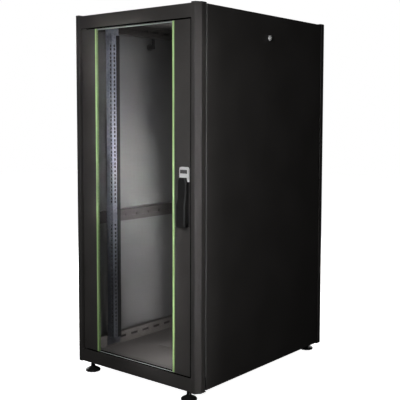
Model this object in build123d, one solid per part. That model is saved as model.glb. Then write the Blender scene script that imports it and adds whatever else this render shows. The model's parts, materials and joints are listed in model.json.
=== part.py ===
from build123d import *
import os
from math import cos, radians, sin

# A free-standing 26-unit network rack, 600 mm wide and 800 mm deep, in millimetres.
# The floor is Z = 0, the front faces -Y and +X is on the right seen from the front.
# Most pieces are drawn for the front right corner and mirrored to their other places.

# Overall sizes
HALF_WIDTH = 300.0            # over the side panels
HALF_DEPTH = 400.0            # over the corner posts
BASE_Z = 38.0                 # underside of the frame
TOP_Z = 1322.0                # top of the rails and side panels
WALL = 2.0                    # wall of the rolled frame sections
SHEET = 1.5                   # panels

# Corner posts: a front face, a slanting facet and a side face
POST_IN = 270.0               # inner edge of the front face
POST_FACET = (14.0, 19.0)     # how far the facet cuts into the front face and the side face
POST_BACK = 361.0             # back face, where the side members butt
CAP_BACK = 356.0              # the caps reach a little over the side panels' gap
CAP_TOP = 4.0
CAP_BOTTOM = 3.0
CAP_PLUG = 12.0

# Cross rails between the posts
RAIL_FACE = 399.2             # set back a little from the posts' faces
TOP_RAIL = (1276.0, TOP_Z)
BOTTOM_RAIL = (BASE_Z, 85.0)
BOTTOM_RAIL_BACK = 346.0

# Side members, from front post to rear post
MEMBER_IN = 261.0
MEMBER_OUT = 283.0
MEMBERS = {"bottom": (40.0, 107.0), "mid": (549.0, 596.0), "top": (1276.0, 1318.0)}
BOLT_Y = 330.0
SLOT_PITCH = 65.0
SLOT_LENGTH = 36.0
SLOT_HEIGHT = 10.0

# 19-inch rails
UNIT = 44.45
UNITS = 26
UNIT_HOLES = (6.35, 22.225, 38.1)
SQUARE = 9.5
HOLE_X = 232.55               # half of the 465.1 mm hole spacing
RACK_IN = 225.0               # half of the 450 mm opening
RACK_OUT = 256.0
RACK_FACE = 279.0             # how far in front of the middle the flange stands
RACK_LEG = 41.0
RACK_Z = (104.0, 1262.0)
BRACKET = 2.5
BRACKET_LENGTH = 66.0
BRACKETS_Z = ((70.0, 150.0), (545.0, 618.0), (1238.0, 1300.0))

# Doors
DOOR_HALF = 262.0
DOOR_Z = (88.0, 1272.0)
DOOR_FACE = 393.0
DOOR_BACK = 377.0
STILE_IN = 192.0
TRIM_WIDTH = 10.0
TRIM_PROUD = 0.6
GLASS = 4.0
GLASS_FACE = 391.6
GLASS_GRIP = 6.0              # how deep a trim's groove holds the glass edge
HINGE = (-255.0, -386.0)
PIN_R = 3.0
RUNNING = 0.05                # radial clearance of a running fit
STOP_FACE = 371.0

# Swing handle, on the right stile
HANDLE_X = 239.0
HANDLE_HALF = 19.0
HANDLE_Z = (591.0, 791.0)
HANDLE_BASE = 5.0
HUB_Z = 612.0
HUB_R = 11.0
GRIP_HALF = 18.0
GRIP_TOP = 756.0
GRIP_STEP = (673.0, 684.0)    # where the thick part over the pivot runs out into the thin one
GRIP_PIN_Y = -409.0
GRIP_PIN_R = 2.0
EYE_R = 4.0
EYE_HALF = 7.5
PLUG_Z = 764.0
PLUG_R = 6.0
COVER_BOTTOM = 742.0
COVER_TRAVEL = 30.0
STRIKE_Z = (592.0, 632.0)     # the gap in the door stop that the latch tongue sits in

# Side panels and their cam locks
PANEL_HALF = 355.0
PANEL_DEPTH = 15.0
PANEL_Z = (40.0, TOP_Z)
LOCK_Z = 1240.0
LOCK_HEAD_R = 11.0
LOCK_CASE_R = 9.5

# Roof and floor
ROOF_Z = 1318.0
FAN_Y = -60.0
FAN_CUT = 130.0               # half of the square fan cut-out
FAN_PITCH = 105.0             # hole spacing of a 120 mm fan
BRUSH_Y = (230.0, 310.0)
BRUSH_HALF = 150.0
BRUSH_SLIT = 8.0              # half of the gap that the bristles leave
FLOOR_Z = 60.0
FLOOR_CUT = 110.0
FLOOR_CUT_Y = (-120.0, 320.0)
COVER_HALF = 126.0
COVER_Y = (-135.0, 335.0)

# Levelling feet
FOOT = (239.0, -373.0)
FOOT_R = 27.5
FOOT_LOBES = 12
STUD_R = 6.0
STUD_TOP = 66.0
PLINTH = (190.0, -375.0)
PLINTH_R = 5.0


def block(x, y, z):
    """A box from three (low, high) pairs, in either order."""
    x, y, z = sorted(x), sorted(y), sorted(z)
    size = (x[1] - x[0], y[1] - y[0], z[1] - z[0])
    return Pos(x[0], y[0], z[0]) * Box(*size, align=(Align.MIN, Align.MIN, Align.MIN))


def rod_x(x, y, z, radius):
    """A round bar along X between the two x values."""
    low, high = sorted(x)
    return Pos(low, y, z) * Rot(0, 90, 0) * Cylinder(
        radius, high - low, align=(Align.CENTER, Align.CENTER, Align.MIN))


def rod_y(x, y, z, radius):
    """A round bar along Y between the two y values."""
    low, high = sorted(y)
    return Pos(x, high, z) * Rot(90, 0, 0) * Cylinder(
        radius, high - low, align=(Align.CENTER, Align.CENTER, Align.MIN))


def rod_z(x, y, z, radius):
    """A round bar along Z between the two z values."""
    low, high = sorted(z)
    return Pos(x, y, low) * Cylinder(
        radius, high - low, align=(Align.CENTER, Align.CENTER, Align.MIN))


def left(shape):
    return mirror(shape, about=Plane.YZ)


def rear(shape):
    return mirror(shape, about=Plane.XZ)


def half_turn(shape):
    """Carry a front door's piece round to the rear door."""
    return Rot(0, 0, 180) * shape


def four(shape):
    """The same piece in all four corners."""
    return [shape, left(shape), rear(shape), rear(left(shape))]


# Frame --------------------------------------------------------------------------------

def post_outline(back):
    front = HALF_WIDTH - POST_FACET[0]
    side = HALF_DEPTH - POST_FACET[1]
    corners = [(POST_IN, -HALF_DEPTH), (front, -HALF_DEPTH), (HALF_WIDTH, -side),
               (HALF_WIDTH, -back), (POST_IN, -back)]
    return fillet(Polygon(*corners, align=None).vertices(), 1.2)


def corner_post():
    outline = post_outline(POST_BACK)
    ring = outline - offset(outline, -WALL, kind=Kind.INTERSECTION)
    return Pos(0, 0, BASE_Z) * extrude(ring, TOP_Z - BASE_Z)


def post_end_cap(z, thickness):
    """A moulded cap on a post's end, with a plug that sits inside the post."""
    way = 1 if thickness > 0 else -1
    cap = extrude(post_outline(CAP_BACK), thickness)
    rim = cap.faces().sort_by(Axis.Z)[-1 if way > 0 else 0].edges()
    cap = fillet(rim, 2.2)
    inside = offset(post_outline(POST_BACK), -WALL - 0.2, kind=Kind.INTERSECTION)
    plug = extrude(inside, -way * CAP_PLUG)
    return Pos(0, 0, z) * (cap + plug)


def cross_rail(z, back):
    """A hollow rail between the two front posts, open at both ends."""
    outer = block((-POST_IN, POST_IN), (-RAIL_FACE, -back), z)
    outer = fillet(outer.edges().filter_by(Axis.X), 1.5)
    inner = block((-POST_IN, POST_IN), (-RAIL_FACE + WALL, -back - WALL), (z[0] + WALL, z[1] - WALL))
    return outer - inner


def hinge_hole(z):
    return rod_z(HINGE[0], HINGE[1], z, 6.0 + RUNNING)


def top_rail():
    rail = cross_rail(TOP_RAIL, POST_BACK)
    return rail - hinge_hole((TOP_RAIL[0] - 1, TOP_RAIL[0] + 5))


def bottom_rail():
    """The lower rail carries the hinge bush, the feet and the plinth holes."""
    rail = cross_rail(BOTTOM_RAIL, BOTTOM_RAIL_BACK) - hinge_hole((BOTTOM_RAIL[1] - 5, BOTTOM_RAIL[1] + 1))
    floor = (BASE_Z - 1, BASE_Z + 5)
    for side in (-1, 1):
        rail -= rod_z(side * FOOT[0], FOOT[1], floor, STUD_R + 0.1)
        rail -= rod_z(side * PLINTH[0], PLINTH[1], floor, PLINTH_R)
    return rail


def slot_places():
    """Where the slots along a side member are centred."""
    count = 9
    return [(index - (count - 1) / 2) * SLOT_PITCH for index in range(count)]


def side_member(level):
    z = MEMBERS[level]
    inside = (z[0] + WALL, z[1] - WALL)
    member = block((MEMBER_IN, MEMBER_OUT), (-POST_BACK, POST_BACK), z)
    member -= block((MEMBER_IN + WALL, MEMBER_OUT - WALL), (-POST_BACK, POST_BACK), inside)
    wall = (MEMBER_IN - 1, MEMBER_IN + 5)
    slot_z = slot_level(level)
    for y in slot_places():
        member -= block(wall, (y - SLOT_LENGTH / 2, y + SLOT_LENGTH / 2),
                        (slot_z - SLOT_HEIGHT / 2, slot_z + SLOT_HEIGHT / 2))
    for y, height in bolt_places(level):
        member -= rod_x(wall, y, height, 4.0 + RUNNING)
    for way in (-1, 1):
        end = (way * BOTTOM_RAIL_BACK, way * (POST_BACK + 1))
        member -= block((MEMBER_IN - 1, POST_IN), end, BOTTOM_RAIL)
    return member


def slot_level(level):
    low, high = MEMBERS[level]
    return {"bottom": 88.0, "mid": (low + high) / 2, "top": (low + high) / 2}[level]


def bolt_places(level):
    low, high = MEMBERS[level]
    return [(way * BOLT_Y, (low + high) / 2) for way in (-1, 1)]


def bolt_x(face, y, z, head_r, head, shank_r, shank):
    """A button-headed bolt on a face at x = face, with its head towards the middle."""
    bolt = rod_x((face - head, face), y, z, head_r)
    bolt = fillet(bolt.edges().sort_by(Axis.X)[0], head * 0.45)
    socket = Pos(face - head, y, z) * Rot(0, 90, 0) * extrude(RegularPolygon(head_r * 0.45, 6), head * 0.6)
    return bolt - socket + rod_x((face, face + shank), y, z, shank_r)


def frame_bolts():
    bolts = []
    for level in MEMBERS:
        for y, z in bolt_places(level):
            bolt = bolt_x(MEMBER_IN, y, z, 7.0, 5.0, 4.0, 12.0)
            bolts += [bolt, left(bolt)]
    return bolts


def door_stops():
    """Angles behind the door edges; the lock side is open where the tongue sits."""
    spans = {"hinge": [DOOR_Z], "lock": [(DOOR_Z[0], STRIKE_Z[0]), (STRIKE_Z[1], DOOR_Z[1])]}
    stops = []
    for place, lengths in spans.items():
        for z in lengths:
            stop = block((250.0, POST_IN), (-STOP_FACE, -STOP_FACE + WALL), z)
            stop += block((POST_IN - WALL, POST_IN), (-STOP_FACE, -POST_BACK), z)
            stops.append(left(stop) if place == "hinge" else stop)
    return stops + [half_turn(stop) for stop in stops]


def hinge_bushes():
    """Flanged bushes in the upper and lower rails for the door pins."""
    bore = rod_z(HINGE[0], HINGE[1], (60, TOP_Z), PIN_R + RUNNING)
    low = BOTTOM_RAIL[1]
    high = TOP_RAIL[0]
    lower = rod_z(*HINGE, (low - 12, low), 6.0) + rod_z(*HINGE, (low, low + 2.6), 6.8)
    upper = rod_z(*HINGE, (high, high + 12), 6.0) + rod_z(*HINGE, (high - 2.0, high), 6.8)
    bushes = [lower - bore, upper - bore]
    return bushes + [half_turn(bush) for bush in bushes]


def roof_panel():
    roof = block((-MEMBER_OUT, MEMBER_OUT), (-POST_BACK, POST_BACK), (ROOF_Z, ROOF_Z + SHEET))
    roof -= block((-FAN_CUT, FAN_CUT), (FAN_Y - FAN_CUT, FAN_Y + FAN_CUT), (ROOF_Z - 1, ROOF_Z + 3))
    roof -= block((-BRUSH_HALF, BRUSH_HALF), BRUSH_Y, (ROOF_Z - 1, ROOF_Z + 3))
    return roof


def roof_fan_cover():
    """A plate over the fan cut-out, with slotted rings inside a 120 mm fan's holes."""
    half = FAN_CUT + 15
    top = ROOF_Z + SHEET
    z = (top, top + SHEET)
    plate = block((-half, half), (FAN_Y - half, FAN_Y + half), z)
    cut = (z[0] - 1, z[1] + 1)
    for radius in (18, 27, 36, 45, 54):
        ring = rod_z(0, FAN_Y, cut, radius + 2.5) - rod_z(0, FAN_Y, cut, radius - 2.5)
        for angle in (0, 90):
            ring -= Pos(0, FAN_Y, 0) * Rot(0, 0, angle) * block((-80, 80), (-3.5, 3.5), cut)
        plate -= ring
    for x in (-1, 1):
        for y in (-1, 1):
            plate -= rod_z(x * FAN_PITCH / 2, FAN_Y + y * FAN_PITCH / 2, cut, 2.25)
    return plate


def roof_brush():
    """Two bristle strips in carriers, leaving a slit for the cables."""
    middle = sum(BRUSH_Y) / 2
    strips = []
    for way in (-1, 1):
        edge = middle + way * 40.0
        slit = middle + way * BRUSH_SLIT
        carrier = block((-BRUSH_HALF, BRUSH_HALF), (edge - way * 12, edge), (ROOF_Z - 9, ROOF_Z - 0.2))
        bristles = block((-BRUSH_HALF + 2, BRUSH_HALF - 2), (slit, edge - way * 12),
                         (ROOF_Z - 6, ROOF_Z - 2))
        strips += [carrier, bristles]
    return strips


def floor_panel():
    """A tray between the side members with a cable cut-out."""
    edge = MEMBER_IN - 0.3
    y = (-BOTTOM_RAIL_BACK + 0.3, BOTTOM_RAIL_BACK - 0.3)
    panel = block((-edge, edge), y, (FLOOR_Z, FLOOR_Z + WALL))
    for way in (-1, 1):
        panel += block((way * edge, way * (edge - WALL)), y, (FLOOR_Z - 18, FLOOR_Z))
    return panel - block((-FLOOR_CUT, FLOOR_CUT), FLOOR_CUT_Y, (FLOOR_Z - 1, FLOOR_Z + 3))


def floor_cable_cover():
    """The plate that slides over the floor's cable cut-out."""
    low = FLOOR_Z + WALL + 0.3
    plate = block((-COVER_HALF, COVER_HALF), COVER_Y, (low, low + SHEET))
    plate = fillet(plate.edges().filter_by(Axis.Z), 6.0)
    return plate - rod_z(0, COVER_Y[0] + 35, (low - 1, low + 3), 11.0)


# Levelling feet -----------------------------------------------------------------------

def levelling_foot():
    profile = [(0, 0), (FOOT_R, 0), (FOOT_R, 5), (FOOT_R - 3, 8), (15, 13), (10.5, 16),
               (8, 18), (8, 26), (STUD_R, 26), (STUD_R, STUD_TOP), (0, STUD_TOP)]
    foot = revolve(Plane.XZ * Polygon(*profile, align=None), Axis.Z)
    for index in range(FOOT_LOBES):
        angle = radians(360 / FOOT_LOBES * (index + 0.5))
        foot -= rod_z((FOOT_R + 2.6) * cos(angle), (FOOT_R + 2.6) * sin(angle), (-1, 10), 4.6)
    return Pos(FOOT[0], FOOT[1], 0) * foot


def foot_lock_nut():
    nut = extrude(RegularPolygon(10.9, 6), 7.4) - Cylinder(STUD_R + RUNNING, 30)
    return Pos(FOOT[0], FOOT[1], BASE_Z - 7.6) * nut


# 19-inch rails ------------------------------------------------------------------------

def hole_heights():
    start = sum(RACK_Z) / 2 - UNIT * UNITS / 2
    return [start + UNIT * unit + step for unit in range(UNITS) for step in UNIT_HOLES]


def rack_rail():
    """An angle with square holes down its front flange and down its side leg."""
    front = -RACK_FACE
    back = front + RACK_LEG
    half = SQUARE / 2
    flange = block((RACK_IN, RACK_OUT), (front, front + WALL), RACK_Z)
    leg = block((RACK_IN, RACK_IN + WALL), (front, back), RACK_Z)
    leg_hole_y = front + 14.0
    holes = []
    for z in hole_heights():
        holes.append(block((HOLE_X - half, HOLE_X + half), (front - 1, front + 5), (z - half, z + half)))
        holes.append(block((RACK_IN - 1, RACK_IN + 2.5), (leg_hole_y - half, leg_hole_y + half),
                           (z - half, z + half)))
    return flange + leg - holes


def rail_fixings():
    """Angle brackets that clamp a rail to the side members, with their bolts."""
    face = -RACK_FACE + WALL
    plate_x = (MEMBER_IN - 0.3 - BRACKET, MEMBER_IN - 0.3)
    pieces = []
    for z in BRACKETS_Z:
        rail_z = (max(z[0], RACK_Z[0] + 2), min(z[1], RACK_Z[1] - 2))
        bracket = block(plate_x, (face, face + BRACKET_LENGTH), z)
        bracket += block((RACK_IN + WALL + 0.3, plate_x[0]), (face, face + BRACKET), rail_z)
        pieces.append(bracket)
        for y in (face + 26, face + 50):
            pieces.append(rod_x((plate_x[0] - 4.5, plate_x[0]), y, sum(z) / 2, 6.0))
    return pieces + [left(piece) for piece in pieces]


# Doors --------------------------------------------------------------------------------

def stile():
    """A hollow upright, 70 mm wide."""
    outer = block((STILE_IN, DOOR_HALF), (-DOOR_FACE, -DOOR_BACK), DOOR_Z)
    outer = fillet(outer.edges().filter_by(Axis.Z), 1.5)
    inner = block((STILE_IN + SHEET, DOOR_HALF - SHEET), (-DOOR_FACE + SHEET, -DOOR_BACK - SHEET), DOOR_Z)
    return outer - inner


def handle_holes():
    """What the swing handle needs cut out of the door behind it."""
    y = (-DOOR_FACE - 1, -DOOR_BACK + 1)
    return rod_y(HANDLE_X, y, HUB_Z, HUB_R + 0.4) + rod_y(HANDLE_X, (y[0], y[1] - 4), PLUG_Z, 10.4)


def door_glass():
    edge = STILE_IN - TRIM_WIDTH + GLASS_GRIP
    return block((-edge, edge), (-GLASS_FACE, -GLASS_FACE + GLASS), DOOR_Z)


def door_trim():
    """A green edge profile with a groove that holds the glass."""
    x = (STILE_IN - TRIM_WIDTH, STILE_IN)
    trim = block(x, (-DOOR_FACE - TRIM_PROUD, -GLASS_FACE + GLASS + 2), (DOOR_Z[0] + 1, DOOR_Z[1] - 1))
    groove = block((x[0] - 1, x[0] + GLASS_GRIP), (-GLASS_FACE, -GLASS_FACE + GLASS), DOOR_Z)
    return fillet(trim.edges().filter_by(Axis.Z).group_by(Axis.Y)[0], 0.8) - groove


def hinge_pins():
    """Pins with the blocks that hold them inside the door's corners."""
    block_x = (-DOOR_HALF + SHEET + 0.2, HINGE[0] + 7)
    block_y = (-DOOR_FACE + SHEET + 0.2, -DOOR_BACK - SHEET - 0.2)
    inset = SHEET + 0.2
    low = block(block_x, block_y, (DOOR_Z[0] + inset, DOOR_Z[0] + 24))
    low += rod_z(*HINGE, (BOTTOM_RAIL[1] - 11, DOOR_Z[0] + inset), PIN_R)
    high = block(block_x, block_y, (DOOR_Z[1] - 24, DOOR_Z[1] - inset))
    high += rod_z(*HINGE, (DOOR_Z[1] - inset, TOP_RAIL[0] + 11), PIN_R)
    return [low, high]


def vent_slots(y):
    """Rows of slots near the top and the bottom of the rear door."""
    slots = []
    for start in (DOOR_Z[0] + 60, DOOR_Z[1] - 60 - 11 * 12):
        for row in range(12):
            for column in (-1, 0, 1):
                x = column * 70.0
                z = start + row * 12.0
                slots.append(block((x - 27, x + 27), y, (z - 2, z + 2)))
    return slots


def rear_door_panel():
    """A folded steel tray; it is drawn as a front door and turned round."""
    y = (-DOOR_FACE, -DOOR_BACK)
    x = (-DOOR_HALF, DOOR_HALF)
    outer = fillet(block(x, y, DOOR_Z).edges().filter_by(Axis.Z), 1.5)
    inner = block((x[0] + SHEET, x[1] - SHEET), (y[0] + SHEET, y[1] + 1),
                  (DOOR_Z[0] + SHEET, DOOR_Z[1] - SHEET))
    panel = outer - inner - vent_slots((y[0] - 1, y[0] + SHEET + 1))
    pin_holes = rod_z(*HINGE, (DOOR_Z[0] - 1, DOOR_Z[0] + 5), PIN_R + 0.2)
    pin_holes += rod_z(*HINGE, (DOOR_Z[1] - 5, DOOR_Z[1] + 1), PIN_R + 0.2)
    return panel - pin_holes - handle_holes()


def rear_door_stiffeners():
    """Two hat-shaped uprights welded inside the rear door."""
    skin = -DOOR_FACE + SHEET
    hats = []
    for x in (-130.0, 130.0):
        hat = block((x - 14, x + 14), (skin, skin + 12), (DOOR_Z[0] + 30, DOOR_Z[1] - 30))
        hats.append(hat - block((x - 12.5, x + 12.5), (skin, skin + 10.5), DOOR_Z))
    return hats


# Swing handle -------------------------------------------------------------------------

def rounded_plate(y, z, radius):
    plate = block((HANDLE_X - HANDLE_HALF, HANDLE_X + HANDLE_HALF), y, z)
    return fillet(plate.edges().filter_by(Axis.Y), radius)


def cover_ribs(y, z, spare):
    """The ribs under the lock cover, or with spare the grooves they run in."""
    ribs = Part()
    for way in (-1, 1):
        x = HANDLE_X + way * 14.5
        ribs += block((x - 1.5 - spare, x + 1.5 + spare), y, z)
    return ribs


def handle_base():
    """The backplate, with the lock barrel that reaches through the door's skin."""
    front = -DOOR_FACE - HANDLE_BASE
    base = rounded_plate((front, -DOOR_FACE), HANDLE_Z, 8.0)
    base = fillet(base.faces().sort_by(Axis.Y)[0].edges(), 1.2)
    base += rod_y(HANDLE_X, (-DOOR_FACE, -DOOR_FACE + 11), PLUG_Z, 10.0)
    base -= rod_y(HANDLE_X, (front - 1, -DOOR_BACK), PLUG_Z, PLUG_R + RUNNING)
    base -= rod_y(HANDLE_X, (front - 1, -DOOR_BACK), HUB_Z, HUB_R + RUNNING)
    groove_z = (COVER_BOTTOM + 0.7, COVER_BOTTOM + 15.3 + COVER_TRAVEL)
    return base - cover_ribs((front - 1, front + 1.8), groove_z, 0.2)


def lock_cover():
    """The bright sliding cover over the key cylinder."""
    back = -DOOR_FACE - HANDLE_BASE - 0.3
    front = -DOOR_FACE - HANDLE_BASE - 3.0
    cover = rounded_plate((front, back), (COVER_BOTTOM, HANDLE_Z[1]), 7.5)
    cover = fillet(cover.faces().sort_by(Axis.Y)[0].edges(), 0.9)
    cover -= block((HANDLE_X - 12, HANDLE_X + 12), (front - 1, front + 0.8), (774.0, 784.0))
    return cover + cover_ribs((back, back + 1.6), (COVER_BOTTOM + 1, COVER_BOTTOM + 15), 0)


def lock_plug():
    front = -DOOR_FACE - HANDLE_BASE
    plug = rod_y(HANDLE_X, (front, -DOOR_FACE + 12), PLUG_Z, PLUG_R)
    return plug - block((HANDLE_X - 0.8, HANDLE_X + 0.8), (front - 1, front + 7), (PLUG_Z - 4, PLUG_Z + 4))


def handle_hub():
    """The turning hub with the eye and pin that carry the grip."""
    front = -DOOR_FACE - HANDLE_BASE - 0.3
    hub = rod_y(HANDLE_X, (front, -DOOR_BACK + 3), HUB_Z, HUB_R)
    hub += block((HANDLE_X - 4, HANDLE_X + 4), (-DOOR_BACK + 3, -357.0), (HUB_Z - 4, HUB_Z + 4))
    x = (HANDLE_X - EYE_HALF, HANDLE_X + EYE_HALF)
    hub += rod_x(x, GRIP_PIN_Y, HUB_Z, EYE_R)
    hub += block(x, (GRIP_PIN_Y, front), (HUB_Z - EYE_R, HUB_Z + EYE_R))
    bore = rod_x((HANDLE_X - 20, HANDLE_X + 20), GRIP_PIN_Y, HUB_Z, GRIP_PIN_R)
    pin = rod_x((HANDLE_X - 16, HANDLE_X + 16), GRIP_PIN_Y, HUB_Z, GRIP_PIN_R)
    return [hub - bore, pin]


def handle_grip():
    """The lever: thick over the pivot, thinner above, with a tapered tip."""
    base = -DOOR_FACE - HANDLE_BASE
    back = base - 0.5
    front = base - 17.0
    thin = base - 10.0
    tip_back = base - 3.4
    radius = back - GRIP_PIN_Y
    turn = sin(radians(45)) * radius
    outline = Polyline((back, GRIP_STEP[1]), (back, HUB_Z))
    outline += ThreePointArc((back, HUB_Z), (GRIP_PIN_Y + turn, HUB_Z - turn), (GRIP_PIN_Y, HUB_Z - radius))
    outline += Polyline((GRIP_PIN_Y, HUB_Z - radius), (GRIP_PIN_Y - 3, HANDLE_Z[0]),
                        (front + 2.5, HANDLE_Z[0]), (front, HANDLE_Z[0] + 4), (front, GRIP_STEP[0]),
                        (thin, GRIP_STEP[1]), (thin, GRIP_TOP - 6), (thin + 2.5, GRIP_TOP),
                        (tip_back, GRIP_TOP), (tip_back, GRIP_STEP[1] + 6), (back, GRIP_STEP[1]))
    side = Plane.YZ.offset(HANDLE_X - GRIP_HALF) * make_face(outline)
    grip = extrude(side, 2 * GRIP_HALF)
    for way in (-1, 1):
        edge = HANDLE_X + way * GRIP_HALF
        corner = Polygon((edge, GRIP_TOP - 26), (edge + way, GRIP_TOP + 1),
                         (HANDLE_X + way * 8, GRIP_TOP + 1), (HANDLE_X + way * 8.5, GRIP_TOP), align=None)
        grip -= extrude(Plane.XZ.offset(370) * corner, 60)
    pocket = (HANDLE_X - EYE_HALF - 0.4, HANDLE_X + EYE_HALF + 0.4)
    grip -= rod_x(pocket, GRIP_PIN_Y, HUB_Z, EYE_R + 0.5)
    grip -= block(pocket, (GRIP_PIN_Y - 2, back + 1), (HANDLE_Z[0] - 1, HUB_Z + EYE_R + 0.5))
    grip -= rod_x((HANDLE_X - 16.3, HANDLE_X + 16.3), GRIP_PIN_Y, HUB_Z, GRIP_PIN_R + RUNNING)
    return soften(grip)


def soften(grip):
    """Round the grip's long front edges."""
    edges = [edge for edge in grip.edges().filter_by(Axis.Z) if edge.center().Y < -405 and edge.length > 40]
    return fillet(edges, 3.0)


def latch_tongue():
    """The tongue on the hub's square end, with its nut."""
    y = (-366.0, -363.0)
    tongue = block((HANDLE_X, HANDLE_X + 26), y, (HUB_Z - 8, HUB_Z + 8)) + rod_y(HANDLE_X, y, HUB_Z, 10.0)
    tongue -= block((HANDLE_X - 4.05, HANDLE_X + 4.05), (y[0] - 1, y[1] + 1), (HUB_Z - 4.05, HUB_Z + 4.05))
    nut = rod_y(HANDLE_X, (y[1] + 0.1, y[1] + 5), HUB_Z, 8.0)
    nut -= block((HANDLE_X - 4.05, HANDLE_X + 4.05), (y[1] - 1, y[1] + 6), (HUB_Z - 4.05, HUB_Z + 4.05))
    return [tongue, nut]


# Side panels --------------------------------------------------------------------------

def side_panel():
    """A folded tray that stands in the side of the frame."""
    x = (HALF_WIDTH - PANEL_DEPTH, HALF_WIDTH)
    panel = fillet(block(x, (-PANEL_HALF, PANEL_HALF), PANEL_Z).edges().group_by(Axis.X)[-1], 1.2)
    panel -= block((x[0] - 1, x[1] - SHEET), (-PANEL_HALF + SHEET, PANEL_HALF - SHEET),
                   (PANEL_Z[0] + SHEET, PANEL_Z[1] - SHEET))
    return panel - rod_x((x[1] - 5, x[1] + 1), 0, LOCK_Z, LOCK_CASE_R + 0.1)


def side_lock_case():
    face = HALF_WIDTH
    case = rod_x((face, face + 1.6), 0, LOCK_Z, LOCK_HEAD_R)
    case = fillet(case.edges().sort_by(Axis.X)[-1], 0.8)
    case += rod_x((face - 21, face), 0, LOCK_Z, LOCK_CASE_R)
    case += rod_x((face - 8, face - SHEET - 0.1), 0, LOCK_Z, 13.0)
    return case - rod_x((face - 25, face + 5), 0, LOCK_Z, PLUG_R + RUNNING)


def side_lock_plug():
    """The turning plug and the cam on its tail."""
    face = HALF_WIDTH + 1.2
    plug = rod_x((face, MEMBER_IN + 11), 0, LOCK_Z, PLUG_R)
    plug -= block((face - 7, face + 1), (-0.8, 0.8), (LOCK_Z - 4, LOCK_Z + 4))
    cam_x = (MEMBER_IN + 11, MEMBER_IN + 14)
    cam = block(cam_x, (-7, 7), (LOCK_Z, LOCK_Z + 32)) + rod_x(cam_x, 0, LOCK_Z, 9.0)
    return plug + cam


# Files --------------------------------------------------------------------------------

def save(name, shapes):
    shapes = shapes if isinstance(shapes, list) else [shapes]
    solids = [solid for shape in shapes for solid in shape.solids()]
    export_step(Compound(children=solids) if len(solids) > 1 else solids[0], f"parts/{name}.step")


def by_corner(name, shape):
    """Name a front right piece's four mirrored copies."""
    places = ("front_right", "front_left", "rear_right", "rear_left")
    return {f"{name}_{place}": copy for place, copy in zip(places, four(shape))}


def by_side(name, shape):
    return {f"{name}_right": shape, f"{name}_left": left(shape)}


def swing_handle():
    return {
        "handle_base": handle_base(),
        "handle_hub": handle_hub(),
        "handle_grip": handle_grip(),
        "latch_tongue": latch_tongue(),
        "lock_cover": lock_cover(),
        "lock_plug": lock_plug(),
    }


def half_turned(shapes):
    return [half_turn(shape) for shape in shapes] if isinstance(shapes, list) else half_turn(shapes)


def model():
    nodes = by_corner("post", corner_post())
    caps = [post_end_cap(TOP_Z, CAP_TOP), post_end_cap(BASE_Z, -CAP_BOTTOM)]
    nodes["post_end_caps"] = [copy for cap in caps for copy in four(cap)]
    nodes["top_rail_front"] = top_rail()
    nodes["top_rail_rear"] = half_turn(top_rail())
    nodes["bottom_rail_front"] = bottom_rail()
    nodes["bottom_rail_rear"] = half_turn(bottom_rail())
    for level in MEMBERS:
        nodes |= by_side(f"{level}_member", side_member(level))
    nodes["frame_bolts"] = frame_bolts()
    nodes["door_stops"] = door_stops()
    nodes["hinge_bushes"] = hinge_bushes()
    nodes["roof_panel"] = roof_panel()
    nodes["roof_fan_cover"] = roof_fan_cover()
    nodes["roof_brush"] = roof_brush()
    nodes["floor_panel"] = floor_panel()
    nodes["floor_cable_cover"] = floor_cable_cover()
    nodes |= by_corner("foot", levelling_foot())
    nodes["foot_lock_nuts"] = four(foot_lock_nut())
    nodes |= by_corner("rack_rail", rack_rail())
    nodes["rail_fixings_front"] = rail_fixings()
    nodes["rail_fixings_rear"] = [rear(piece) for piece in rail_fixings()]
    nodes |= by_side("side_panel", side_panel())
    nodes |= by_side("side_lock_case", side_lock_case())
    nodes |= by_side("side_lock_plug", side_lock_plug())
    nodes["door_stile_left"] = left(stile())
    nodes["door_stile_right"] = stile() - handle_holes()
    nodes["door_glass"] = door_glass()
    nodes["door_trims"] = [door_trim(), left(door_trim())]
    nodes["front_hinge_pins"] = hinge_pins()
    nodes["rear_door_panel"] = half_turn(rear_door_panel())
    nodes["rear_door_stiffeners"] = half_turned(rear_door_stiffeners())
    nodes["rear_hinge_pins"] = half_turned(hinge_pins())
    for name, shapes in swing_handle().items():
        nodes[f"front_{name}"] = shapes
        nodes[f"rear_{name}"] = half_turned(shapes)
    return nodes


os.makedirs("parts", exist_ok=True)
for node, shape in model().items():
    save(node, shape)
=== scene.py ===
"""Looks of the network rack cabinet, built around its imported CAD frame."""
import json
import math
import random

import bmesh
import bpy
from mathutils import Matrix, Vector


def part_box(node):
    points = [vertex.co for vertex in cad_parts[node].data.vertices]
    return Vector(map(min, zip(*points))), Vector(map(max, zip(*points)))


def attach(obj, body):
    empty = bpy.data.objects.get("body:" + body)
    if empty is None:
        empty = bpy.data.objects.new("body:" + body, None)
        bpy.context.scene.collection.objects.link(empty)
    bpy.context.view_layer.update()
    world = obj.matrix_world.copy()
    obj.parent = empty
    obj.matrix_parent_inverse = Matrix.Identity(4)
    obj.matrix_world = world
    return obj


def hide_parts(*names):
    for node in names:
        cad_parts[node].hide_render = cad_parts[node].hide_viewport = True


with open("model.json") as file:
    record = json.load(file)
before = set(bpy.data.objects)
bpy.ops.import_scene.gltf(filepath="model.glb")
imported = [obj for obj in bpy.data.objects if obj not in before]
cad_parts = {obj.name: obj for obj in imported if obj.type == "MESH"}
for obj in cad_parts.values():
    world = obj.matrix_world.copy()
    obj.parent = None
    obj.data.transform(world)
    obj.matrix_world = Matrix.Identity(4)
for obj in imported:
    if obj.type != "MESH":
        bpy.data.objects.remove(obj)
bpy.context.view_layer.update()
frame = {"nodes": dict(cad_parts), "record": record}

NODES = frame["nodes"]
MM = 0.001


# Material helpers ---------------------------------------------------------------------

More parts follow.
